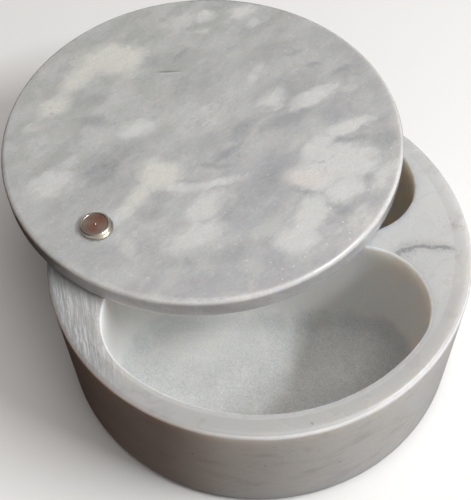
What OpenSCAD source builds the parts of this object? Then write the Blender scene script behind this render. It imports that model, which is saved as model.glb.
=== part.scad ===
// Round stone salt cellar with two half-moon compartments and a stone lid that swivels on one pivot.
// Origin: on the body's axis, at the face it stands on. +X runs along the divider away from the pivot,
// and the front compartment lies towards -Y.

/* [Body] */
// Diameter of the stone body, and of its lid
body_d = 115; // [108:1:140]
// Height of the stone body
body_h = 42.5; // [34:0.5:60]
// Rounding of the body's upper rim
rim_edge_r = 1.4; // [0.6:0.1:2.4]
// Rounding of the body's lower edge
base_edge_r = 2; // [0.8:0.1:4]
// Thickness of the felt under the body
felt_t = 1; // [0.5:0.1:3]
// How far the felt stays inside the flat of the underside
felt_inset = 4; // [1:0.5:12]

/* [Compartments] */
// Stone left outside the compartments
rim_w = 6.24; // [4:0.02:9]
// Stone left between the two compartments
divider_w = 5; // [4:0.1:9]
// Stone left under the compartments
floor_t = 6.4; // [4:0.1:12]
// Corner radius at the end away from the pivot
far_corner_r = 17.66; // [12:0.02:22]
// Corner radius at the end beside the pivot
pier_corner_r = 20.6; // [14:0.1:23]
// Radius of the blend from the walls to the floor
floor_blend_r = 5; // [2:0.5:8]
// Easing of the compartments' upper edges
lip_r = 0.7; // [0.3:0.1:1.2]
// How steeply that easing meets the top face, in degrees
lip_end_angle = 15; // [0:5:45]

/* [Lid] */
// Thickness of the stone lid
lid_t = 6.3; // [4:0.1:12]
// Rounding of the lid's upper edge
lid_edge_r = 1.4; // [0.6:0.1:2.4]
// Rounding of the lid's lower edge
lid_arris_r = 0.5; // [0.2:0.1:1.2]
// How far the lid is swung open, in degrees from closed
lid_swing = 50.5; // [0:0.5:359]

/* [Pivot] */
// Distance of the pivot's axis from the body's edge
pivot_inset = 14.25; // [12:0.25:18]
// Diameter of the cap
cap_d = 8.2; // [7.6:0.1:12]
// Height of the cap
cap_h = 1.4; // [1:0.1:3]
// Bevel round the cap's rim
cap_bevel = 0.3; // [0.1:0.05:0.4]
// Width of the raised land inside the bevel
cap_land_w = 0.35; // [0.2:0.05:0.6]
// How far the turned face lies under the land
cap_face_drop = 0.15; // [0.05:0.05:0.3]
// Diameter of the nub in the middle of the face
cap_nub_d = 0.7; // [0.4:0.1:1.2]
// Diameter of the cap's barrel, which the lid turns on
barrel_d = 5; // [4.6:0.1:5.6]
// Diameter of the threaded stud
stud_d = 4; // [3:0.1:4.2]
// Chamfer at the stud's ends
stud_chamfer = 0.4; // [0.2:0.1:0.6]
// Diameter of the washer under the cap
cap_washer_d = 8.4; // [8:0.1:12]
// Thickness of the washer under the cap
cap_washer_t = 0.3; // [0.2:0.1:1]
// How far that loose washer has slipped to one side
cap_washer_slip = 0.45; // [0:0.05:0.6]
// Direction of the slip, in degrees from +X
cap_washer_turn = -20; // [-180:5:180]
// Wall of the bushing in the lid
bushing_wall = 0.95; // [0.6:0.05:1.5]
// Diameter of the washer between body and lid
spacer_d = 14; // [11:0.5:20]
// Thickness of the washer between body and lid
spacer_t = 0.5; // [0.3:0.1:2]

/* [Anchor] */
// Diameter of the brass anchor
anchor_d = 7; // [6:0.1:9]
// Length of the anchor under its flange
anchor_len = 15; // [10:0.5:20]
// Diameter of the anchor's flange
anchor_flange_d = 9.6; // [9.2:0.1:11]
// Thickness of the anchor's flange
anchor_flange_t = 1; // [0.6:0.1:2]
// How far the flange lies under the top of the body
anchor_recess = 0.2; // [0:0.1:0.6]
// Number of bonding grooves round the anchor
anchor_grooves = 4; // [1:1:6]
// Width of a bonding groove
anchor_groove_w = 1; // [0.5:0.1:1.4]
// Depth of a bonding groove
anchor_groove_depth = 0.4; // [0.2:0.1:0.7]

/* [Clearances] */
// Running clearance round the barrel, on the radius
running_gap = 0.05; // [0.02:0.01:0.1]
// Play of the lid between the washers, on each side
lid_play = 0.06; // [0.03:0.01:0.15]
// Clearance of the threads, on the radius
thread_gap = 0.03; // [0.01:0.01:0.08]
// Clearance of pieces that are bonded or pressed into stone, on the radius
bond_gap = 0.05; // [0.02:0.01:0.2]
// Space left at the end of a threaded hole
stud_end_gap = 0.6; // [0.3:0.1:1.5]

/* [Hidden] */
$fn = 128;

// One overrun for every cut
overrun = 1;

// Heights, from the felt up
base_z = felt_t;
floor_z = base_z + floor_t;
top_z = base_z + body_h;
lid_z = top_z + spacer_t + lid_play;
lid_top_z = lid_z + lid_t;
cap_washer_z = lid_top_z + lid_play;
cap_z = cap_washer_z + cap_washer_t;
anchor_top_z = top_z - anchor_recess;
anchor_z = anchor_top_z - anchor_flange_t - anchor_len;

// Plan of a compartment
body_r = body_d / 2;
pocket_r = body_r - rim_w;
half_divider = divider_w / 2;
far_y = -(half_divider + far_corner_r);
far_x = sqrt(pow(pocket_r - far_corner_r, 2) - pow(far_y, 2));
pier_y = -(half_divider + pier_corner_r);
pier_x = -sqrt(pow(pocket_r - pier_corner_r, 2) - pow(pier_y, 2));
// How many times farther out than the corners' centres the sectors between them reach
sector_reach = 3;

// Places and sizes of the pivot's pieces
pivot_x = -(body_r - pivot_inset);
barrel_r = barrel_d / 2;
stud_r = stud_d / 2;
bushing_r = barrel_r + running_gap + bushing_wall;
cap_washer_hole_r = barrel_r + running_gap + cap_washer_slip;

// Colours
stone = [0.86, 0.86, 0.84];
lid_stone = [0.76, 0.77, 0.76];
steel = [0.66, 0.64, 0.61];
brass = [0.74, 0.6, 0.32];
nylon = [0.93, 0.92, 0.88];
felt = [0.24, 0.24, 0.25];

// Takes a rounding off the corner at the origin of a shape that lies towards -X and -Y
module corner_cut(r) {
    translate([-r, -r]) difference() {
        square(r + overrun);
        circle(r);
    }
}

// Half section of a turned disc with rounded edges, on the axis and standing on zero
module turned_section(r, h, top_r, bottom_r) {
    difference() {
        square([r, h]);
        translate([r, h]) corner_cut(top_r);
        translate([r, 0]) mirror([0, 1]) corner_cut(bottom_r);
    }
}

// Half section of a compartment between an inner radius and its wall: blended floor, wall, eased lip
module wall_section(inner, wall) {
    lip_z = top_z - lip_r * cos(lip_end_angle);
    difference() {
        translate([inner, floor_z]) square([wall - inner, top_z - floor_z + overrun]);
        translate([wall - floor_blend_r, floor_z + floor_blend_r]) mirror([0, 1]) difference() {
            square(floor_blend_r + overrun);
            circle(floor_blend_r);
        }
    }
    difference() {
        translate([wall, lip_z]) square([lip_r, top_z - lip_z + overrun]);
        translate([wall + lip_r, lip_z]) circle(lip_r);
    }
}

// Sector of a corner: between the line that runs from the body's axis out through the corner's centre, and
// the line from that centre straight to the divider
module corner_sector(x, y) {
    linear_extrude(top_z + 2 * overrun)
        polygon([[x, y], [x, 0], [sector_reach * x, 0], [sector_reach * x, sector_reach * y]]);
}

// Sector of the long curve: between the lines from the body's axis out through both corners' centres
module curve_sector() {
    linear_extrude(top_z + 2 * overrun) polygon([
        [0, 0], [sector_reach * pier_x, sector_reach * pier_y], [sector_reach * pier_x, -body_d],
        [sector_reach * far_x, -body_d], [sector_reach * far_x, sector_reach * far_y]
    ]);
}

// One end of a compartment: the wall turned about the corner's own centre
module corner_turn(x, y, r) {
    intersection() {
        translate([x, y, 0]) rotate_extrude() wall_section(0, r);
        corner_sector(x, y);
    }
}

// The front compartment, as the space that is cut out of the stone: a corner at each end, the long curve
// along the rim, the straight wall along the divider, and the middle of the floor
module compartment() {
    core_r = pocket_r - (far_corner_r + floor_blend_r) / 2;
    far_reach = (far_corner_r - floor_blend_r) / 3;
    pier_reach = (pier_corner_r - floor_blend_r) / 3;
    corner_turn(far_x, far_y, far_corner_r);
    corner_turn(pier_x, pier_y, pier_corner_r);
    intersection() {
        rotate_extrude() wall_section(pocket_r - far_corner_r, pocket_r);
        curve_sector();
    }
    translate([pier_x, far_y, 0]) rotate([90, 0, 90])
        linear_extrude(far_x - pier_x) wall_section(0, far_corner_r);
    translate([0, 0, floor_z]) linear_extrude(top_z - floor_z + overrun) intersection() {
        circle(core_r);
        translate([pier_x - pier_reach, far_y + far_reach - body_r])
            square([far_x + far_reach - pier_x + pier_reach, body_r]);
    }
}

// Moves a child to the pivot's axis
module at_pivot() {
    translate([pivot_x, 0, 0]) children();
}

// Turns the closed lid to where it is left open
module swung() {
    at_pivot() rotate([0, 0, lid_swing]) translate([-pivot_x, 0, 0]) children();
}

// Cylinder between two heights
module post(r, from, to) {
    translate([0, 0, from]) cylinder(r = r, h = to - from);
}

module cellar_body() {
    color(stone) difference() {
        translate([0, 0, base_z]) rotate_extrude() turned_section(body_r, body_h, rim_edge_r, base_edge_r);
        compartment();
        mirror([0, 1, 0]) compartment();
        at_pivot() {
            post(anchor_d / 2 + bond_gap, anchor_z, top_z + overrun);
            post(anchor_flange_d / 2 + bond_gap, anchor_top_z - anchor_flange_t, top_z + overrun);
        }
    }
}

module swivel_lid() {
    color(lid_stone) swung() difference() {
        translate([0, 0, lid_z]) rotate_extrude() turned_section(body_r, lid_t, lid_edge_r, lid_arris_r);
        at_pivot() post(bushing_r + bond_gap, lid_z - overrun, lid_top_z + overrun);
    }
}

// The cap and its barrel are one turned piece, bored from below for the stud
module pivot_cap() {
    land_r = cap_d / 2 - cap_bevel;
    face_r = land_r - cap_land_w;
    face_z = cap_h - cap_face_drop;
    nub_r = cap_nub_d / 2;
    color(steel) at_pivot() difference() {
        union() {
            translate([0, 0, cap_z]) rotate_extrude() polygon([
                [0, 0], [cap_d / 2, 0], [cap_d / 2, cap_h - cap_bevel], [land_r, cap_h], [face_r, cap_h],
                [face_r - cap_face_drop, face_z], [nub_r, face_z], [nub_r / 2, cap_h], [0, cap_h]
            ]);
            post(barrel_r, anchor_top_z, cap_z);
        }
        post(stud_r + thread_gap, anchor_top_z - overrun, cap_z - stud_end_gap);
    }
}

module cap_washer() {
    color(steel) at_pivot() rotate([0, 0, cap_washer_turn]) translate([cap_washer_slip, 0, 0]) difference() {
        post(cap_washer_d / 2, cap_washer_z, cap_z);
        post(cap_washer_hole_r, cap_washer_z - overrun, cap_z + overrun);
    }
}

module lid_bushing() {
    color(nylon) at_pivot() difference() {
        post(bushing_r, lid_z, lid_top_z);
        post(barrel_r + running_gap, lid_z - overrun, lid_top_z + overrun);
    }
}

module spacer_washer() {
    color(nylon) at_pivot() difference() {
        post(spacer_d / 2, top_z, top_z + spacer_t);
        post(barrel_r + running_gap, top_z - overrun, top_z + spacer_t + overrun);
    }
}

module pivot_stud() {
    foot_z = anchor_z + stud_end_gap;
    stud_len = cap_z - 2 * stud_end_gap - foot_z;
    color(steel) at_pivot() translate([0, 0, foot_z]) rotate_extrude() polygon([
        [0, 0], [stud_r - stud_chamfer, 0], [stud_r, stud_chamfer], [stud_r, stud_len - stud_chamfer],
        [stud_r - stud_chamfer, stud_len], [0, stud_len]
    ]);
}

module stud_anchor() {
    groove_pitch = anchor_len / (anchor_grooves + 1);
    anchor_r = anchor_d / 2;
    color(brass) at_pivot() difference() {
        union() {
            post(anchor_r, anchor_z, anchor_top_z);
            post(anchor_flange_d / 2, anchor_top_z - anchor_flange_t, anchor_top_z);
        }
        post(stud_r + thread_gap, anchor_z + stud_end_gap / 2, anchor_top_z + overrun);
        for (i = [1 : anchor_grooves])
            translate([0, 0, anchor_z + i * groove_pitch - anchor_groove_w / 2]) rotate_extrude()
                translate([anchor_r - anchor_groove_depth, 0])
                    square([anchor_groove_depth + overrun, anchor_groove_w]);
    }
}

module base_felt() {
    color(felt) post(body_r - base_edge_r - felt_inset, 0, felt_t);
}

cellar_body();
swivel_lid();
pivot_cap();
cap_washer();
lid_bushing();
spacer_washer();
pivot_stud();
stud_anchor();
base_felt();
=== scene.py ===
"""Looks of a round marble salt cellar with a swivelling lid.

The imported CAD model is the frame, and its nine solids stay as they are. This script gives each of
them a procedural look, and adds the floor, the lights and the camera.
Lengths in the looks are millimetres in the object's own frame, so every pattern rides with its piece.
"""
import math

import bpy
from mathutils import Euler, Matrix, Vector

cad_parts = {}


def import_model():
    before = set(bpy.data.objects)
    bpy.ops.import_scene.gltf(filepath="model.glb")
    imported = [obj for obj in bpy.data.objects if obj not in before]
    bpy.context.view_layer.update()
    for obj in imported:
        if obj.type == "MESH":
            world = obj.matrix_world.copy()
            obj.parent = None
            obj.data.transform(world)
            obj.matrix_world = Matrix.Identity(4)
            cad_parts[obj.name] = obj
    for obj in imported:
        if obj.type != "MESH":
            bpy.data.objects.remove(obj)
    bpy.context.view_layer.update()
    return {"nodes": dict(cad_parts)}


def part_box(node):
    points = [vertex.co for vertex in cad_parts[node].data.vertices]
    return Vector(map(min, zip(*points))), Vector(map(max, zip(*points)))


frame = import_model()

MM = 0.001
SPECK_CORE = 0.4                       # the share of a speck's radius that is full
OVAL_ENDS, OVAL_FULL = 1.9, 0.2        # how far from its middle an oval ends and is full, in its reaches
STONE_IOR = 1.48
STONE_SCATTER = (1.0, 0.82, 0.66)      # how far red, green and blue go into stone, as shares of red's way


def rgb(r, g, b):
    return (r, g, b, 1.0)


def grey(level):
    return rgb(level, level, level)


# Node helpers

class Nodes:
    """A node tree, with one short call for each kind of node that the scene uses."""

    def __init__(self, tree):
        self.tree = tree

    def add(self, kind, **settings):
        node = self.tree.nodes.new(kind)
        for key, value in settings.items():
            setattr(node, key, value)
        return node

    def feed(self, socket, value):
        if isinstance(value, bpy.types.NodeSocket):
            self.tree.links.new(value, socket)
        else:
            socket.default_value = value

    def feed_all(self, node, values):
        """Feeds the node's first sockets in their order."""
        for socket, value in zip(node.inputs, values):
            self.feed(socket, value)

    def math(self, operation, *values):
        node = self.add("ShaderNodeMath", operation=operation)
        self.feed_all(node, values)
        return node.outputs[0]

    def plus(self, a, b):
        return self.math("ADD", a, b)

    def minus(self, a, b):
        return self.math("SUBTRACT", a, b)

    def times(self, a, b):
        return self.math("MULTIPLY", a, b)

    def vector(self, operation, *values, output="Vector"):
        node = self.add("ShaderNodeVectorMath", operation=operation)
        self.feed_all(node, values)
        return node.outputs[output]

    def scaled(self, vector, scale):
        node = self.add("ShaderNodeVectorMath", operation="SCALE")
        self.feed(node.inputs[0], vector)
        node.inputs["Scale"].default_value = scale
        return node.outputs["Vector"]

    def plan_length(self, vector):
        """How long a vector is, seen from above."""
        return self.vector("LENGTH", self.vector("MULTIPLY", vector, (1.0, 1.0, 0.0)), output="Value")

    def axes(self, vector):
        node = self.add("ShaderNodeSeparateXYZ")
        self.feed(node.inputs[0], vector)
        return node.outputs[0], node.outputs[1], node.outputs[2]

    def join(self, x, y, z):
        node = self.add("ShaderNodeCombineXYZ")
        self.feed_all(node, (x, y, z))
        return node.outputs[0]

    def noise(self, where, size, detail=3.0, roughness=0.5, output="Fac"):
        """Noise whose features are about `size` across, from 0 to 1."""
        node = self.add("ShaderNodeTexNoise")
        self.feed(node.inputs["Vector"], where)
        node.inputs["Scale"].default_value = 1 / size
        node.inputs["Detail"].default_value = detail
        node.inputs["Roughness"].default_value = roughness
        return node.outputs[output]

    def cells(self, where, size, output):
        node = self.add("ShaderNodeTexVoronoi")
        self.feed(node.inputs["Vector"], where)
        node.inputs["Scale"].default_value = 1 / size
        return node.outputs[output]

    def stretch(self, where, at=(0.0, 0.0), reach=(1.0, 1.0), turn=0.0, deep=1.0):
        """The plan turned by `turn` degrees about `at`, and drawn out by `reach` along and across."""
        node = self.add("ShaderNodeMapping", vector_type="TEXTURE")
        self.feed(node.inputs["Vector"], where)
        node.inputs["Location"].default_value = (*at, 0.0)
        node.inputs["Rotation"].default_value = (0.0, 0.0, math.radians(turn))
        node.inputs["Scale"].default_value = (*reach, deep)
        return node.outputs[0]

    def ramp(self, value, start, end, low=0.0, high=1.0, smooth=True):
        """From `low` at `start` to `high` at `end`, and level beyond them."""
        node = self.add("ShaderNodeMapRange", interpolation_type="SMOOTHSTEP" if smooth else "LINEAR")
        self.feed_all(node, (value, start, end, low, high))
        return node.outputs[0]

    def mix(self, factor, a, b, blend="MIX"):
        node = self.add("ShaderNodeMix", data_type="RGBA", blend_type=blend)
        self.feed(node.inputs["Factor"], factor)
        inputs = [socket for socket in node.inputs if socket.type == "RGBA"]
        self.feed(inputs[0], a)
        self.feed(inputs[1], b)
        return [socket for socket in node.outputs if socket.type == "RGBA"][0]

    def tint(self, colour, towards, where, strength):
        """A colour moved towards another, by `strength` where `where` is 1."""
        return self.mix(self.times(where, strength), colour, towards)

    def shade(self, colour, value, start, end, low, high):
        """A colour times a grey that goes from `low` at `start` to `high` at `end`, as the value does."""
        tone = self.ramp(value, start, end, low, high, smooth=False)
        return self.mix(1.0, colour, self.join(tone, tone, tone), "MULTIPLY")


class Look(Nodes):
    """A material of its own, with the patterns that the looks share."""

    def __init__(self, name):
        self.material = bpy.data.materials.new(name)
        self.material.use_nodes = True
        super().__init__(self.material.node_tree)
        self.shader = self.tree.nodes["Principled BSDF"]

    def surface(self, socket, value):
        self.feed(self.shader.inputs[socket], value)

    def place_mm(self):
        """Where a point of the piece is, in millimetres, at rest."""
        return self.scaled(self.add("ShaderNodeTexCoord").outputs["Object"], 1 / MM)

    def bump(self, height, depth, under=None):
        """Relief of `depth` millimetres where height goes from 0 to 1."""
        node = self.add("ShaderNodeBump")
        node.inputs["Distance"].default_value = depth * MM
        self.feed(node.inputs["Height"], height)
        if under is not None:
            self.feed(node.inputs["Normal"], under)
        return node.outputs[0]

    def warped(self, where, size, reach, detail=2.0):
        """`where` pushed about by up to `reach` millimetres, in swirls of about `size`."""
        swirl = self.noise(where, size, detail, output="Color")
        # the noise goes half a unit either way
        centred = self.vector("SUBTRACT", swirl, (0.5, 0.5, 0.5))
        return self.vector("ADD", where, self.scaled(centred, 2 * reach))

    def patch(self, where, at, reach, turn, strength):
        """A soft oval in plan: `strength` in its middle, fading out well past its reach."""
        reaches = self.plan_length(self.stretch(where, at, reach, turn))
        return self.ramp(reaches, OVAL_ENDS, OVAL_FULL, low=0.0, high=strength)

    def patches(self, where, ovals):
        total = self.patch(where, *ovals[0])
        for oval in ovals[1:]:
            total = self.math("MAXIMUM", total, self.patch(where, *oval))
        return total

    def ragged(self, field, rough, amount, start, end):
        """A field's edge broken up by noise, as a factor from 0 to 1."""
        shaken = self.plus(field, self.times(self.minus(rough, 0.5), amount))
        # where the field is nothing, no noise brings it back
        return self.times(self.ramp(shaken, start, end), self.ramp(field, start=0.05, end=0.3))

    def specks(self, where, size, share, radius):
        """Round specks, one in a `share` of cells of `size`, each about `radius` of a cell."""
        cell_number = self.axes(self.cells(where, size, "Color"))[0]
        chosen = self.math("LESS_THAN", cell_number, share)
        from_middle = self.cells(where, size, "Distance")
        return self.times(chosen, self.ramp(from_middle, radius, radius * SPECK_CORE))

    def let_light_in(self, reach):
        """How light goes into the two stones, by `reach` millimetres, and off them."""
        self.surface("IOR", STONE_IOR)
        self.surface("Subsurface Weight", 1.0)
        self.surface("Subsurface Radius", STONE_SCATTER)
        self.surface("Subsurface Scale", reach * MM)

    def dress(self, *node_names):
        for name in node_names:
            mesh = frame["nodes"][name].data
            mesh.materials.clear()
            mesh.materials.append(self.material)
            for face in mesh.polygons:
                face.material_index = 0


# The stone of the lid. Ovals are (x, y), reach along and across, turn, strength

LID_LOW, LID_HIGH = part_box("swivel_lid")
LID_TOP_Z = LID_HIGH.z / MM
LID_CENTRE = ((LID_LOW.x + LID_HIGH.x) / 2 / MM, (LID_LOW.y + LID_HIGH.y) / 2 / MM)
LID_R = (LID_HIGH.x - LID_LOW.x) / 2 / MM
LID_LIGHT_REACH = 5.0
LID_WHITE_ROUGHER, LID_RIM_ROUGHER = 0.06, -0.10   # what these places add to the roughness
# Ways in from the lid's outside, and depths below its face, at which a region starts and is full
LID_RIM_IN = (1.1, 0.6)
LID_SIDE_DEPTH, LID_ARRIS_DEPTH = (0.9, 1.6), (1.1, 0.5)

LID_GREY_WARM = rgb(0.464, 0.471, 0.456)
LID_GREY_COOL = rgb(0.466, 0.463, 0.480)
LID_SMOKE_PALE = rgb(0.560, 0.563, 0.553)
LID_DARK = rgb(0.345, 0.348, 0.364)
LID_CREAM = rgb(0.695, 0.69, 0.648)
LID_WHITE = rgb(0.675, 0.675, 0.66)
LID_PINK = rgb(0.70, 0.645, 0.62)
LID_ARRIS_HIGHLIGHT = rgb(0.82, 0.81, 0.79)
LID_FLECK = grey(0.24)
LID_CRACK = grey(0.2)
LID_GLINT_PAINTED = grey(0.86)

LID_LEAN = (0.5, 0.35)       # how far the clouds move in X and Y for each millimetre up
LID_STREAK_TURN = 45.0       # degrees from +X, the way in which the clouds are drawn out
LID_STREAKS = {"reach": (3.6, 1.0), "turn": LID_STREAK_TURN, "deep": 2.0}
LID_SMOKE_STREAKS = {"reach": (2.0, 1.0), "turn": LID_STREAK_TURN}
LID_WISPS_SHARE = 0.65       # of the noise that breaks up the clouds' edges
LID_WARM_TO_COOL = (-70.0, 0.0)        # places along the way to the front right
# painted glints grow stronger towards the lit front right
LID_PAINTED_GLINTS_GROW = (-60.0, 20.0)
LID_BACK_PAINTED_SHADE = (0.0, 70.0)         # places along the way to the back right, times the root of 2, darkened there as painted shade

LID_CREAM_OVALS = [
    ((-44, 63.5), (9, 5.5), 5, 1.0),
    ((-53, 56), (8, 3.2), 48, 0.8),
    ((-37, 57), (4, 1.8), 20, 0.4),
    ((-59.5, 43.5), (5, 3.4), 40, 0.8),
    ((-27, 18), (5.5, 4.6), 0, 1.0),
    ((-33, 10), (6, 2.6), 60, 0.75),
]
LID_WHITE_OVALS = [
    ((-23, 80), (7, 3.5), 30, 0.5),
    ((-16, 82), (4, 2.6), 20, 0.65),
    ((-27, 78), (4, 2.5), 0, 0.45),
    ((-16, 75), (3, 1.3), 0, 0.5),
    ((-4, 84), (5, 2.6), 30, 0.7),
    ((-1, 79), (3, 2.6), 60, 0.5),
    ((0, 57), (6, 1.8), 58, 0.5),
    ((5, 46), (5, 3.2), 40, 0.65),
    ((17, 47), (8, 2.6), 35, 0.75),
    ((27, 50), (3, 1.6), 30, 0.45),
    ((26, 35), (8, 2.3), 22, 0.8),
    ((16, 17), (7, 4.6), 0, 1.0),
    ((24, 22), (9, 6.2), 10, 1.0),
    ((17, 27), (7, 2.8), 55, 0.85),
    ((24, 12), (6, 3.6), 30, 0.85),
    ((35, 17), (6, 2.6), 60, 0.6),
    ((14, 2.5), (7.5, 3.4), 70, 1.0),
    ((10.5, -4.5), (5.5, 3.6), 20, 1.0),
    ((19, -2), (4, 2), 30, 0.45),
    ((27, 2), (6, 2.4), 50, 0.5),
    ((-37, 4), (3.5, 2.2), 30, 0.65),
    ((-22, 13), (4, 1.8), 0, 0.75),
    ((-13, 14), (10, 1.5), 17, 0.7),
    ((-15, 6), (6, 3.8), 50, 0.85),
    ((-17, -3), (8.5, 3.8), 32, 0.8),
    ((-57, 15), (7, 4.2), 42, 0.7),
    ((-53, 22), (5, 1.8), 50, 0.5),
    ((-34, 35), (5, 3.2), 20, 0.7),
    ((-17, 38), (9, 5), 40, 0.42),
    ((-35, -6), (6, 2.6), -50, 0.5),
    ((-65, 36), (4, 1.8), 10, 0.45),
    ((-9, 46), (9, 3), 45, 0.42),
]
LID_DARK_OVALS = [
    ((-23, 65), (4, 1.1), 55, 0.8),
    ((-33, 62), (4, 3.4), 60, 0.6),
    ((-46, 38), (5, 2.2), -10, 0.7),
    ((-48, 47), (6, 2.4), 20, 0.5),
    ((-4, 34), (5, 2.6), 45, 0.9),
    ((8, 38), (8, 2.4), 30, 0.8),
    ((-8, 26), (7, 1.2), 50, 0.75),
    ((-12, 21), (5, 1.1), 0, 0.8),
    ((26, 30), (7, 1.0), 5, 0.85),
    ((36, 30), (5, 3.2), 60, 0.75),
    ((33, 23), (3, 2.4), 30, 0.6),
    ((28, 15), (3, 1.5), 20, 1.0),
    ((15, 10.5), (6, 1.5), -15, 0.75),
    ((22, 6), (4, 2), -30, 0.7),
    ((2, 14), (14, 4.5), 45, 0.65),
    ((-8, 3), (5, 1.4), 40, 0.65),
    ((-43, 20), (6.5, 5.4), 30, 0.9),
    ((-38, 26), (5, 4), 50, 0.55),
    ((-29, 4), (4, 2.2), 20, 0.6),
    ((-5, -8), (12, 2.4), 18, 0.55),
    ((-20, -12), (8, 2), 5, 0.45),
    ((11, 65), (4, 1.1), 30, 0.6),
    ((17, 60), (3, 1), 10, 0.7),
    ((26, 58), (4, 1.6), 20, 0.6),
    ((13, 50), (6, 2), 30, 0.5),
    ((-16, 58), (4, 3), 60, 0.45),
]
LID_PINK_OVAL = ((14, 16), (5, 2.6), 0, 0.9)
LID_FLECK_OVALS = [
    ((18.5, 21.5), (3.2, 1.6), 25, 1.0),
    ((-59, 43), (1.6, 2.6), 0, 1.0),
    ((18, 60), (3, 1.2), 0, 0.9),
    ((-42, 19), (5, 3), 40, 0.8),
]
CRACK_AT, CRACK_REACH, CRACK_TURN = (-26.5, 57.9), (3.0, 0.35), 3
CRACK_LIP_AT = (CRACK_AT[0], CRACK_AT[1] - 0.5)


def lid_ground(look, x, y, swirled):
    """Grey stone, warmer at the left, with paler smoke in it, and a little darker at the back right as
    painted shade.
    """
    rightwards = look.times(look.minus(x, y), math.sqrt(0.5))
    smoke = look.noise(look.stretch(swirled, **LID_SMOKE_STREAKS), size=8.0, detail=6.0, roughness=0.58)
    colour = look.mix(look.ramp(rightwards, *LID_WARM_TO_COOL), LID_GREY_WARM, LID_GREY_COOL)
    colour = look.mix(look.ramp(smoke, start=0.34, end=0.66), colour, LID_SMOKE_PALE)
    return look.shade(colour, look.plus(x, y), *LID_BACK_PAINTED_SHADE, low=1.0, high=0.93), rightwards


def lid_clouds(look, colour, swirled, streaked):
    """The dark, white and cream clouds, each with its edge broken into wisps."""
    wisps = look.noise(streaked, size=2.4, detail=6.0, roughness=0.62)
    lumps = look.noise(swirled, size=3.5, detail=5.0, roughness=0.6)
    broken = look.plus(look.times(wisps, LID_WISPS_SHARE), look.times(lumps, 1.0 - LID_WISPS_SHARE))
    dark = look.ragged(look.patches(swirled, LID_DARK_OVALS), broken, amount=1.3, start=0.10, end=1.0)
    white = look.ragged(look.patches(swirled, LID_WHITE_OVALS), broken, amount=1.2, start=0.10, end=0.78)
    cream = look.ragged(look.patches(swirled, LID_CREAM_OVALS), broken, amount=1.0, start=0.06, end=0.85)
    colour = look.tint(colour, LID_DARK, dark, strength=0.7)
    colour = look.tint(colour, LID_WHITE, white, strength=0.85)
    colour = look.tint(colour, LID_CREAM, cream, strength=0.9)
    return look.tint(colour, LID_PINK, look.patch(swirled, *LID_PINK_OVAL), strength=0.7), white


def lid_marks(look, colour, place, leaning, swirled, rightwards):
    """Dark flecks where the photograph has them, a hairline crack, and painted glints of crystals all
    over, stronger towards the lit front right.
    """
    mottle = look.noise(swirled, size=1.1, detail=3.0)
    flecked = look.times(look.patches(leaning, LID_FLECK_OVALS), look.ramp(mottle, start=0.56, end=0.66))
    colour = look.tint(colour, LID_FLECK, flecked, strength=0.55)
    crack_place = look.warped(leaning, size=2.0, reach=0.25)
    crack = look.patch(crack_place, CRACK_AT, CRACK_REACH, CRACK_TURN, 1.0)
    crack_lip = look.patch(crack_place, CRACK_LIP_AT, CRACK_REACH, CRACK_TURN, 0.6)
    colour = look.mix(crack_lip, colour, LID_WHITE)
    colour = look.tint(colour, LID_CRACK, crack, strength=0.7)
    # painted glints: bright specks for crystals catching the light
    painted_glints = look.specks(place, size=1.5, share=0.14, radius=0.22)
    glint_strength = look.ramp(rightwards, *LID_PAINTED_GLINTS_GROW, low=0.15, high=0.6)
    return look.tint(colour, LID_GLINT_PAINTED, painted_glints, glint_strength), crack


def lid_rim(look, colour, place, depth):
    """The lid's side is a little darker than its face, and the rounding between them paler, a painted
    highlight.
    """
    out = look.plan_length(look.vector("SUBTRACT", place, (*LID_CENTRE, 0.0)))
    on_rim = look.ramp(out, LID_R - LID_RIM_IN[0], LID_R - LID_RIM_IN[1])
    on_side = look.times(on_rim, look.ramp(depth, -LID_SIDE_DEPTH[0], -LID_SIDE_DEPTH[1]))
    on_arris = look.times(on_rim, look.ramp(depth, -LID_ARRIS_DEPTH[0], -LID_ARRIS_DEPTH[1]))
    colour = look.tint(colour, LID_DARK, on_side, strength=0.2)
    # the paler rounding is a painted highlight
    return look.tint(colour, LID_ARRIS_HIGHLIGHT, on_arris, strength=0.4), on_rim


def lid_stone():
    look = Look("lid_marble")
    place = look.place_mm()
    x, y, z = look.axes(place)
    depth = look.minus(z, LID_TOP_Z)
    # the clouds lean a little as they go down through the slab
    lean_x, lean_y = (look.times(depth, lean) for lean in LID_LEAN)
    leaning = look.join(look.plus(x, lean_x), look.plus(y, lean_y), depth)
    broad = look.warped(leaning, size=9.0, reach=1.6)
    swirled = look.warped(broad, size=2.6, reach=0.9, detail=4.0)
    streaked = look.stretch(swirled, **LID_STREAKS)

    colour, rightwards = lid_ground(look, x, y, swirled)
    colour, white = lid_clouds(look, colour, swirled, streaked)
    colour, crack = lid_marks(look, colour, place, leaning, swirled, rightwards)
    colour, on_rim = lid_rim(look, colour, place, depth)
    grain = look.noise(place, size=0.5, detail=2.0, roughness=0.7)
    fibres = look.noise(streaked, size=0.75, detail=3.0, roughness=0.6)
    colour = look.shade(colour, grain, start=0.25, end=0.75, low=0.92, high=1.07)
    colour = look.shade(colour, fibres, start=0.3, end=0.7, low=0.95, high=1.05)
    look.surface("Base Color", colour)

    roughness = look.ramp(look.noise(place, size=9.0), start=0.3, end=0.7, low=0.20, high=0.30)
    roughness = look.plus(roughness, look.times(white, LID_WHITE_ROUGHER))
    look.surface("Roughness", look.plus(roughness, look.times(on_rim, LID_RIM_ROUGHER)))
    ripple = look.bump(look.noise(place, size=7.0, detail=2.0), depth=0.04)
    look.surface("Normal", look.bump(look.minus(grain, crack), depth=0.012, under=ripple))
    look.let_light_in(LID_LIGHT_REACH)
    return look


# The stone of the body

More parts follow.
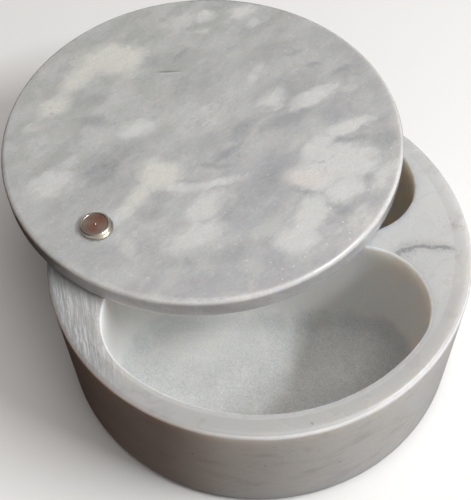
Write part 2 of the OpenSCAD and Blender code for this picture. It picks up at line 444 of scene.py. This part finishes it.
BODY_TOP_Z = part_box("cellar_body")[1].z / MM
BODY_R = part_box("cellar_body")[1].x / MM
WALL = 6.2                             # the outer wall's thickness, to a tenth
POCKET_R = BODY_R - WALL
FLOOR_Z = 7.4                          # how high the compartments' floor lies
BODY_LIGHT_REACH = 9.0
# What each region adds to the roughness
BODY_ROUGHER = {"inside": 0.45, "wall": 0.14, "edge": -0.22}
STROKES_ROUGHER = 0.15

BODY_WHITE = rgb(0.495, 0.494, 0.486)
BODY_CLOUD = rgb(0.43, 0.433, 0.437)
BODY_GROUND = rgb(0.85, 0.84, 0.815)
BODY_GROUND_REAR_PAINTED_LIGHT = rgb(0.97, 0.93, 0.885)
BODY_GRIT = rgb(0.575, 0.588, 0.585)
# crushed crystals, and on the outer edge a painted highlight
BODY_CRUSHED_AND_HIGHLIGHT = rgb(0.88, 0.88, 0.87)
BODY_STROKED_AND_SHADE = rgb(0.30, 0.305, 0.31)
BODY_GOUGED = grey(0.2)
BODY_HONED = rgb(0.96, 0.93, 0.90)
# painted shade and a warm painted reflection for the wall's unlit left
BODY_BROWN_PAINTED_SHADE = rgb(0.27, 0.165, 0.12)
BODY_DRIFT = rgb(0.30, 0.275, 0.26)
BODY_VEIN = rgb(0.20, 0.205, 0.215)

# Depths below the rim, and ways in from the outer wall, at which a region starts and is full
TOP_DEPTH = (0.5, 0.1)
LIP_DEPTH, LIP_FACE = (1.3, 0.7), (-0.02, 0.07)
EDGE_DEPTH, EDGE_IN = (1.6, 0.9), (0.8, 0.3)
INSIDE_DEPTH = 0.75
WALL_MARGIN = 0.5                      # how near to the outer radius a point of the wall is
INSIDE_MARGIN, LIP_MARGIN = 0.6, 1.5   # how far past the compartments' radius these regions go
GRIT_ENDS_Z, GRIT_FULL_Z = FLOOR_Z + 10.5, FLOOR_Z + 3.5
GRIT_UNEVEN = 9.0                      # how far the grit's upper end goes up and down

CLOUD_TURN = 27                        # degrees from +X, the way in which the clouds are drawn out
VEIN_FROM, VEIN_TURN = (43.5, -0.8), 12
VEIN_BEND = 0.45                       # how far the vein bends for each millimetre along it
VEIN_LEAN = 0.12                       # how far it leans for each millimetre down
VEIN_LEFT_END, VEIN_RIGHT_END = (-9.0, -5.0), (9.0, 6.5)   # where it fades out, along it
# Ways across the vein at which its parts end and are full
VEIN_THREAD, VEIN_HALO, VEIN_SPECKS = (1.0, 0.2), (3.5, 0.5), (4.0, 0.5)
VEIN_SPECKS_OVAL = ((53.0, 5.0), (3.2, 1.6), -25, 0.9)
FAINT_VEINS_WIDTH = 0.022              # of the noise, on either side of its middle
HONED_FADES_PAINTED_SHADE = (34.0, 56.0)             # from where to where, in X, the honing fades, as painted shade on the lit right
HONED_KEEPS = 0.35                     # how much of the polished stone's colour the honed wall keeps
FLOOR_PAINTED_LIGHT_OVAL = ((-18.0, -11.0), (17.0, 7.5), 0, 0.5)   # painted light: less grit, so a paler floor, where the lid shades it
STROKES_OVAL = ((-47.0, -25.0), (17.0, 6.5), -62, 1.0)
STROKES_DRAWN = {"at": STROKES_OVAL[0], "reach": (30.0, 1.0), "turn": -78}
SMUDGE_SLANT = -14.0                   # how far the smudges rise, in millimetres for each radian
SMUDGE_STRENGTH = 0.38
BRUISE_SINKS = 0.6                     # how deep the bruise is, of the strokes' depth
WHITER_RIGHT = 0.3                     # how much a millimetre right whitens, of what one back does

# Degrees round the wall. The brown painted shade's are from -X over the front, the seam's from +X either
# way
BROWN_ENDS, BROWN_FULL = 84.0, 62.0
BROWN_BACK_ENDS, BROWN_BACK_FULL = -62.0, -12.0
SMUDGES_END, SMUDGES_FULL = 178.0, 160.0


def body_regions(look, place):
    """Where each kind of surface is, as factors from 0 to 1."""
    _, y, z = look.axes(place)
    out = look.plan_length(place)

    def below_rim(start, end):
        return look.ramp(z, BODY_TOP_Z - start, BODY_TOP_Z - end)

    in_pocket = look.math("LESS_THAN", out, POCKET_R + INSIDE_MARGIN)
    inside = look.times(look.math("LESS_THAN", z, BODY_TOP_Z - INSIDE_DEPTH), in_pocket)
    # grit lies on the front compartment's floor, up to an uneven height, with less of it near the lid as
    # painted light
    in_front = look.times(inside, look.math("LESS_THAN", y, 0.0))
    gritty = look.times(in_front, look.minus(1.0, look.patch(place, *FLOOR_PAINTED_LIGHT_OVAL)))
    lumps = look.noise(place, size=5.0, detail=4.0, roughness=0.6)
    uneven = look.plus(z, look.times(lumps, GRIT_UNEVEN))
    near_pocket = look.math("LESS_THAN", out, POCKET_R + LIP_MARGIN)
    by_wall = look.ramp(out, BODY_R - EDGE_IN[0], BODY_R - EDGE_IN[1])
    return {
        "top": below_rim(*TOP_DEPTH),
        "inside": inside,
        "floor": look.times(look.ramp(uneven, GRIT_ENDS_Z, GRIT_FULL_Z), gritty),
        "wall": look.math("GREATER_THAN", out, BODY_R - WALL_MARGIN),
        "lip": look.times(look.times(below_rim(*LIP_DEPTH), below_rim(*LIP_FACE)), near_pocket),
        "edge": look.times(below_rim(*EDGE_DEPTH), by_wall),
    }


def body_vein(look, colour, place, swirled):
    """One broken vein through the stone, seen on the right of the rim, and fainter ones beyond it."""
    z = look.axes(place)[2]
    sheet = look.stretch(swirled, at=VEIN_FROM, turn=VEIN_TURN)
    leaning = look.vector("ADD", sheet, look.scaled(look.join(0.0, z, 0.0), VEIN_LEAN))
    along, across, _ = look.axes(leaning)
    bend = look.times(look.math("ABSOLUTE", along), VEIN_BEND)
    across = look.math("ABSOLUTE", look.plus(look.minus(across, VEIN_LEAN * BODY_TOP_Z), bend))
    breaks = look.noise(place, size=0.9, detail=4.0, roughness=0.7)
    reach = look.times(look.ramp(along, *VEIN_LEFT_END), look.ramp(along, *VEIN_RIGHT_END))
    halo = look.times(look.ramp(across, *VEIN_HALO), reach)
    colour = look.tint(colour, BODY_CLOUD, halo, strength=0.6)
    thread = look.times(look.ramp(across, *VEIN_THREAD), look.ramp(breaks, start=0.34, end=0.47))
    colour = look.tint(colour, BODY_VEIN, look.times(thread, reach), strength=0.85)

    beside = look.times(look.ramp(across, *VEIN_SPECKS), reach)
    near_vein = look.math("MAXIMUM", beside, look.patch(place, *VEIN_SPECKS_OVAL))
    dots = look.times(near_vein, look.specks(place, size=0.7, share=0.45, radius=0.5))
    colour = look.tint(colour, BODY_VEIN, dots, strength=0.6)

    drawn = look.stretch(swirled, reach=(2.5, 1.0), turn=CLOUD_TURN)
    ridge = look.math("ABSOLUTE", look.minus(look.noise(drawn, size=22.0, detail=4.0), 0.5))
    here_and_there = look.ramp(look.noise(place, size=14.0, detail=2.0), start=0.45, end=0.62)
    faint = look.times(look.ramp(ridge, FAINT_VEINS_WIDTH, 0.0), here_and_there)
    return look.tint(colour, BODY_VEIN, faint, strength=0.14)


def body_wall(look, colour, place, swirled, smoke, on_wall):
    """The outer wall: honed, and so a little whiter than the rim, less so on the lit right as painted
    shade, with brown painted shade and a warm painted reflection at the left.
    """
    x, y, _ = look.axes(place)
    # the whitening fades towards the lit right: painted shade
    honed_and_shade = look.times(on_wall, look.ramp(x, *HONED_FADES_PAINTED_SHADE, low=0.8, high=0.5))
    colour = look.mix(honed_and_shade, colour, look.mix(HONED_KEEPS, BODY_HONED, colour))

    # brown painted shade, with a warm painted reflection, on the wall's unlit left and front
    from_left = look.math("ARCTAN2", look.times(y, -1.0), look.times(x, -1.0))
    brown_front = look.ramp(from_left, math.radians(BROWN_ENDS), math.radians(BROWN_FULL))
    brown_back = look.ramp(from_left, math.radians(BROWN_BACK_ENDS), math.radians(BROWN_BACK_FULL))
    cloudiness = look.ramp(smoke, start=0.25, end=0.5, low=0.8, high=1.0)
    painted_brown_shade = look.times(look.times(brown_front, brown_back), cloudiness)
    colour = look.tint(colour, BODY_BROWN_PAINTED_SHADE, look.times(painted_brown_shade, on_wall), strength=0.54)

    drawn = look.stretch(swirled, reach=(2.2, 1.0), deep=0.6)
    drifts = look.noise(drawn, size=7.0, detail=6.0, roughness=0.62)
    strength = look.ramp(drifts, start=0.48, end=0.72, low=0.0, high=0.30)
    return look.tint(colour, BODY_DRIFT, on_wall, strength)


def body_smudges(look, colour, place, on_wall):
    """Short slanting smudges round the outer wall, left by the lathe and by handling."""
    x, y, z = look.axes(place)
    turnwise = look.math("ARCTAN2", y, x)
    slanted = look.plus(z, look.times(turnwise, SMUDGE_SLANT))
    unrolled = look.join(look.times(turnwise, BODY_R), slanted, 0.0)
    drawn = look.stretch(unrolled, reach=(3.5, 1.0))
    marks = look.ramp(look.noise(drawn, size=1.1, detail=4.0, roughness=0.6), start=0.60, end=0.72)
    crowds = look.ramp(look.noise(unrolled, size=9.0, detail=2.0), start=0.48, end=0.62)
    smudges = look.times(look.times(marks, crowds), on_wall)
    # the unrolled wall has a seam at -X, where the smudges fade out
    from_right = look.math("ABSOLUTE", turnwise)
    kept = look.ramp(from_right, math.radians(SMUDGES_END), math.radians(SMUDGES_FULL))
    return look.tint(colour, BODY_VEIN, smudges, look.times(kept, SMUDGE_STRENGTH))


def body_strokes(look, colour, place, on_top):
    """Grinding strokes at the left of the rim, on a patch darkened partly as painted shade from the lid.
    """
    here = look.times(look.patch(place, *STROKES_OVAL), on_top)
    drawn = look.stretch(look.warped(place, size=6.0, reach=0.5), **STROKES_DRAWN)
    strokes = look.noise(drawn, size=0.36, detail=4.0, roughness=0.7)
    scratches = look.times(look.ramp(strokes, start=0.49, end=0.62), here)
    gouges = look.times(look.ramp(strokes, start=0.42, end=0.34), here)
    # the patch is darker partly from grinding and partly as painted shade, where the lid's edge shades
    # the rim
    colour = look.tint(colour, BODY_STROKED_AND_SHADE, here, strength=0.55)
    colour = look.tint(colour, BODY_CRUSHED_AND_HIGHLIGHT, scratches, strength=0.5)
    return look.tint(colour, BODY_GOUGED, gouges, strength=0.5), strokes, here


def body_compartments(look, colour, place, regions):
    """The compartments: ground, so whiter than the rim, the rear one paler and warmer still as painted
    light, with a gritty floor and a bruised lip.
    """
    y = look.axes(place)[1]
    # the rear compartment's paler, warmer ground is painted light, for light let through the stone
    ground = look.mix(look.math("GREATER_THAN", y, 0.0), BODY_GROUND, BODY_GROUND_REAR_PAINTED_LIGHT)
    colour = look.tint(colour, ground, regions["inside"], strength=0.88)
    grit = look.noise(place, size=0.4, detail=2.0, roughness=0.8)
    colour = look.tint(colour, BODY_GRIT, regions["floor"], strength=0.85)
    speckled = look.shade(colour, grit, start=0.30, end=0.70, low=0.76, high=1.17)
    colour = look.tint(colour, speckled, regions["floor"], strength=0.9)

    crumbs = look.noise(place, size=1.0, detail=3.0, roughness=0.7)
    bruise = look.times(regions["lip"], look.ramp(crumbs, start=0.22, end=0.42))
    return look.mix(bruise, colour, BODY_CRUSHED_AND_HIGHLIGHT), grit, bruise


def body_stone():
    look = Look("body_marble")
    place = look.place_mm()
    x, y, _ = look.axes(place)
    regions = body_regions(look, place)
    broad = look.warped(place, size=18.0, reach=4.0, detail=3.0)
    swirled = look.warped(broad, size=4.0, reach=1.3, detail=4.0)
    drawn = look.stretch(swirled, reach=(2.4, 1.0), turn=CLOUD_TURN, deep=1.4)
    smoke = look.noise(drawn, size=12.0, detail=6.0, roughness=0.6)

    colour = look.mix(look.ramp(smoke, start=0.44, end=0.76, low=0.0, high=0.75), BODY_WHITE, BODY_CLOUD)
    # whiter towards the back and right
    back_right = look.plus(y, look.times(x, WHITER_RIGHT))
    colour = look.shade(colour, back_right, start=-25.0, end=30.0, low=0.97, high=1.17)
    colour = body_vein(look, colour, place, swirled)
    colour = body_wall(look, colour, place, swirled, smoke, regions["wall"])
    # a few dark grains in the polished stone
    grains = look.specks(swirled, size=6.0, share=0.30, radius=0.085)
    outside = look.minus(1.0, regions["inside"])
    colour = look.tint(colour, BODY_VEIN, look.times(grains, outside), strength=0.6)
    colour = body_smudges(look, colour, place, regions["wall"])
    colour, strokes, stroked = body_strokes(look, colour, place, regions["top"])
    colour, grit, bruise = body_compartments(look, colour, place, regions)
    # the outer edge is polished, and its whiter colour is a painted highlight
    colour = look.tint(colour, BODY_CRUSHED_AND_HIGHLIGHT, regions["edge"], strength=0.5)
    grain = look.noise(place, size=0.5, detail=2.0, roughness=0.7)
    look.surface("Base Color", look.shade(colour, grain, start=0.25, end=0.75, low=0.95, high=1.045))

    roughness = look.ramp(look.noise(place, size=9.0), start=0.3, end=0.7, low=0.25, high=0.33)
    for region, rougher in BODY_ROUGHER.items():
        roughness = look.plus(roughness, look.times(regions[region], rougher))
    look.surface("Roughness", look.plus(roughness, look.times(stroked, STROKES_ROUGHER)))

    wave = look.bump(look.noise(place, size=6.0, detail=2.0), depth=0.04)
    fine = look.bump(grain, depth=0.012, under=wave)
    ground = look.bump(look.times(grit, regions["floor"]), depth=0.22, under=fine)
    worked = look.minus(look.times(strokes, stroked), look.times(bruise, BRUISE_SINKS))
    look.surface("Normal", look.bump(worked, depth=0.06, under=ground))
    look.let_light_in(BODY_LIGHT_REACH)
    return look


# Metal, nylon and felt

PIVOT_X = (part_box("pivot_cap")[0].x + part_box("pivot_cap")[1].x) / 2 / MM
# steel, with a warm tint that is partly a painted warm reflection
CAP_STEEL_WARM_REFLECTION, CAP_TARNISH = rgb(0.82, 0.76, 0.67), rgb(0.68, 0.61, 0.52)
# a reddish painted reflection on the cap's face
CAP_PAINTED_REFLECTION = rgb(0.58, 0.31, 0.235)
CAP_PAINTED_REFLECTION_OVALS = [((1.2, 1.7), (3.1, 2.3), 0, 1.0), ((-0.4, -1.2), (2.1, 1.9), 0, 1.0)]
CAP_FACE_R, CAP_FACE_BLEND = 3.5, 0.3
CAP_GROOVE_R = 3.35
CAP_GROOVE_WAYS = (0.17, 0.05)         # how far from its middle the groove ends and is darkest
CAP_GROOVE = grey(0.10)
WASHER_STEEL, WASHER_DULL = rgb(0.58, 0.55, 0.48), rgb(0.44, 0.41, 0.35)
STUD_ZINC, STUD_DULL = rgb(0.56, 0.57, 0.58), rgb(0.42, 0.43, 0.45)
ANCHOR_BRASS, ANCHOR_DULL = rgb(0.76, 0.58, 0.28), rgb(0.52, 0.38, 0.18)
NYLON_DEEP, NYLON_PALE = rgb(0.80, 0.78, 0.71), rgb(0.86, 0.845, 0.79)
NYLON_LIGHT_REACH = 1.0
NYLON_RING_PITCH = 0.3
NYLON_RING_DEPTH = 0.4                 # up and down, where its grain goes from 0 to 1
FELT_TUFT_DEPTH = 0.5                  # of the depth of its fibres
TURNING_DRIFT = 0.6                    # how far noise moves the turned rings, of their pitch
TARNISH_ROUGHER = 0.12                 # what tarnish adds to a metal's roughness
FELT_DARK, FELT_PALE = rgb(0.030, 0.030, 0.033), rgb(0.085, 0.085, 0.09)


def from_pivot(look, place):
    """A point's place from the pivot's axis."""
    return look.vector("SUBTRACT", place, (PIVOT_X, 0.0, 0.0))


def cap_face(look, metal, place, radius):
    """The cap's face: a reddish painted reflection on it, with a dark groove inside its raised rim."""
    painted_reflection = look.patches(look.warped(from_pivot(look, place), size=1.5, reach=0.3), CAP_PAINTED_REFLECTION_OVALS)
    on_face = look.ramp(radius, CAP_FACE_R, CAP_FACE_R - CAP_FACE_BLEND)
    metal = look.mix(look.times(painted_reflection, on_face), metal, CAP_PAINTED_REFLECTION)
    from_groove = look.math("ABSOLUTE", look.minus(radius, CAP_GROOVE_R))
    return look.mix(look.ramp(from_groove, *CAP_GROOVE_WAYS, low=0.0, high=0.55), metal, CAP_GROOVE)


def turned_metal(name, colour, dull, ring_pitch, ring_depth, roughness, face=None):
    """Metal from the lathe: fine rings round the axis, a little tarnish and handling."""
    look = Look(name)
    place = look.place_mm()
    z = look.axes(place)[2]
    radius = look.plan_length(from_pivot(look, place))
    drift = look.times(look.noise(place, size=2.0, detail=2.0), ring_pitch * TURNING_DRIFT)
    turns = look.plus(look.plus(radius, z), drift)
    rings = look.math("SINE", look.times(turns, 2 * math.pi / ring_pitch))
    cloudy = look.noise(place, size=1.6, detail=4.0, roughness=0.6)
    metal = look.mix(look.ramp(cloudy, start=0.35, end=0.7, low=0.0, high=0.8), colour, dull)
    if face is not None:
        metal = face(look, metal, place, radius)
    fine = look.noise(place, size=0.2, detail=2.0)
    look.surface("Base Color", look.shade(metal, fine, start=0.3, end=0.7, low=0.96, high=1.03))
    look.surface("Metallic", 1.0)
    tarnished = roughness + TARNISH_ROUGHER
    look.surface("Roughness", look.ramp(cloudy, start=0.3, end=0.75, low=roughness, high=tarnished))
    look.surface("Normal", look.bump(fine, depth=0.0008, under=look.bump(rings, ring_depth)))
    return look


def nylon():
    look = Look("nylon")
    place = look.place_mm()
    mottle = look.noise(place, size=1.2, detail=4.0)
    look.surface("Base Color", look.mix(look.ramp(mottle, start=0.3, end=0.7), NYLON_DEEP, NYLON_PALE))
    look.surface("Roughness", look.ramp(mottle, start=0.3, end=0.7, low=0.42, high=0.55))
    radius = look.plan_length(from_pivot(look, place))
    rings = look.math("SINE", look.times(radius, 2 * math.pi / NYLON_RING_PITCH))
    turned = look.plus(look.times(rings, NYLON_RING_DEPTH), look.noise(place, size=0.15))
    look.surface("Normal", look.bump(turned, depth=0.006))
    look.surface("Subsurface Weight", 0.2)
    look.surface("Subsurface Scale", NYLON_LIGHT_REACH * MM)
    return look


def felt():
    look = Look("felt")
    place = look.place_mm()
    matted = look.warped(place, size=2.5, reach=1.2, detail=3.0)
    one_way = look.noise(look.stretch(matted, reach=(7.0, 1.0), turn=20), size=0.35)
    other_way = look.noise(look.stretch(matted, reach=(1.0, 7.0), turn=-25), size=0.35)
    fibres = look.math("MAXIMUM", one_way, other_way)
    tufts = look.noise(place, size=3.0, detail=5.0, roughness=0.6)
    colour = look.mix(look.ramp(fibres, start=0.45, end=0.75), FELT_DARK, FELT_PALE)
    look.surface("Base Color", look.shade(colour, tufts, start=0.3, end=0.7, low=0.8, high=1.2))
    look.surface("Roughness", look.ramp(fibres, start=0.4, end=0.7, low=0.98, high=0.88))
    look.surface("Sheen Weight", 0.4)
    look.surface("Sheen Roughness", 0.6)
    look.surface("Normal", look.bump(look.plus(fibres, look.times(tufts, FELT_TUFT_DEPTH)), depth=0.25))
    return look


def cap_steel():
    return turned_metal("turned_steel", CAP_STEEL_WARM_REFLECTION, CAP_TARNISH,
                        ring_pitch=0.5, ring_depth=0.004, roughness=0.28, face=cap_face)


def washer_steel():
    return turned_metal("washer_steel", WASHER_STEEL, WASHER_DULL,
                        ring_pitch=0.20, ring_depth=0.004, roughness=0.30)


def stud_steel():
    return turned_metal("stud_steel", STUD_ZINC, STUD_DULL,
                        ring_pitch=0.70, ring_depth=0.05, roughness=0.32)


def brass():
    return turned_metal("brass", ANCHOR_BRASS, ANCHOR_DULL,
                        ring_pitch=0.35, ring_depth=0.008, roughness=0.28)


lid_stone().dress("swivel_lid")
body_stone().dress("cellar_body")
cap_steel().dress("pivot_cap")
washer_steel().dress("cap_washer")
stud_steel().dress("pivot_stud")
brass().dress("stud_anchor")
nylon().dress("lid_bushing", "spacer_washer")
felt().dress("base_felt")


# Floor, light and camera

CAMERA_PLACE = (-0.00073, -0.14845, 0.25230)
CAMERA_TURN = (34.8338, 1.3773, 0.1639)   # degrees, XYZ
CAMERA_LENS, CAMERA_SENSOR = 67.852, 36.0   # mm, the sensor along the picture's long side
CAMERA_NEAR = 0.01

KEY_TINT = (0.985, 1.0, 1.01)
FILL_TINT = (1.0, 0.96, 0.92)

# Tint, azimuth and elevation in degrees, distance, width and height in metres, power in watts
LIGHTS = {
    "key": (KEY_TINT, -16.0, 44.5, 0.75, 0.36, 0.05, 4.15),
    "top_fill": (FILL_TINT, -20.0, 76.0, 0.8, 0.6, 0.6, 2.4),
    "front_fill": (FILL_TINT, -66.0, 2.0, 0.8, 0.3, 0.08, 0.60),
    "back_fill": (FILL_TINT, 112.0, 24.0, 0.9, 0.6, 0.3, 0.8),
}
LIGHTS_AIM = Vector((0.0, 0.0, 0.03))

SKY_PALE = grey(0.24)
SKY_DIM = rgb(0.03, 0.018, 0.012)
SKY_TOWARDS = (0.62, -0.25, 0.74)         # the way to the sky's pale side
SKY_PALE_FROM = 0.7                       # cosine of the angle from there
BACKGROUND = rgb(0.80, 0.80, 0.79)

FLOOR_HALF = 4.0
FLOOR_PALE = rgb(0.9, 0.895, 0.885)
FLOOR_GLOW = 0.78
FLOOR_GLOW_FROM, FLOOR_GLOW_FULL = 0.25, 0.9   # metres from the object


def area_light(name, tint, azimuth, elevation, distance, width, height, power):
    light = bpy.data.lights.new(name, "AREA")
    light.shape = "RECTANGLE"
    light.size, light.size_y = width, height
    light.energy = power
    light.color = tint
    turn, rise = math.radians(azimuth), math.radians(elevation)
    away = Vector((math.cos(rise) * math.cos(turn), math.cos(rise) * math.sin(turn), math.sin(rise)))
    lamp = bpy.data.objects.new(name, light)
    lamp.location = LIGHTS_AIM + distance * away
    lamp.rotation_euler = (-away).to_track_quat("-Z", "Y").to_euler()
    bpy.context.scene.collection.objects.link(lamp)


def floor():
    mesh = bpy.data.meshes.new("floor")
    square = [(-1, -1), (1, -1), (1, 1), (-1, 1)]
    mesh.from_pydata([(x * FLOOR_HALF, y * FLOOR_HALF, 0) for x, y in square], [], [(0, 1, 2, 3)])
    piece = bpy.data.objects.new("floor", mesh)
    bpy.context.scene.collection.objects.link(piece)
    look = Look("floor")
    look.surface("Base Color", FLOOR_PALE)
    look.surface("Roughness", 0.8)
    # beyond the lamps' reach the floor glows a little, so that low views have a pale ground too
    away = look.vector("LENGTH", look.add("ShaderNodeTexCoord").outputs["Object"], output="Value")
    look.surface("Emission Color", BACKGROUND)
    look.surface("Emission Strength", look.ramp(away, FLOOR_GLOW_FROM, FLOOR_GLOW_FULL, 0.0, FLOOR_GLOW))
    mesh.materials.append(look.material)
    # the pale floor shows and takes shadows, but doesn't light the stone from below
    piece.visible_diffuse = False
    piece.visible_glossy = False


def world():
    sky = bpy.data.worlds.new("studio")
    sky.use_nodes = True
    nodes = Nodes(sky.node_tree)
    direction = nodes.add("ShaderNodeTexCoord").outputs["Generated"]
    towards = nodes.vector("DOT_PRODUCT", direction, SKY_TOWARDS, output="Value")
    light = nodes.mix(nodes.ramp(towards, 0.0, SKY_PALE_FROM), SKY_DIM, SKY_PALE)
    # the camera sees an even pale background in place of the sky that lights the object
    seen = nodes.add("ShaderNodeLightPath").outputs["Is Camera Ray"]
    nodes.feed(nodes.tree.nodes["Background"].inputs["Color"], nodes.mix(seen, light, BACKGROUND))
    bpy.context.scene.world = sky


def camera():
    data = bpy.data.cameras.new("camera")
    data.lens = CAMERA_LENS
    data.sensor_width = CAMERA_SENSOR
    data.clip_start = CAMERA_NEAR
    eye = bpy.data.objects.new("camera", data)
    eye.location = CAMERA_PLACE
    eye.rotation_euler = Euler([math.radians(a) for a in CAMERA_TURN], "XYZ")
    bpy.context.scene.collection.objects.link(eye)
    bpy.context.scene.camera = eye


floor()
world()
camera()
for name, light in LIGHTS.items():
    area_light(name, *light)
bpy.context.scene.view_settings.view_transform = "Standard"
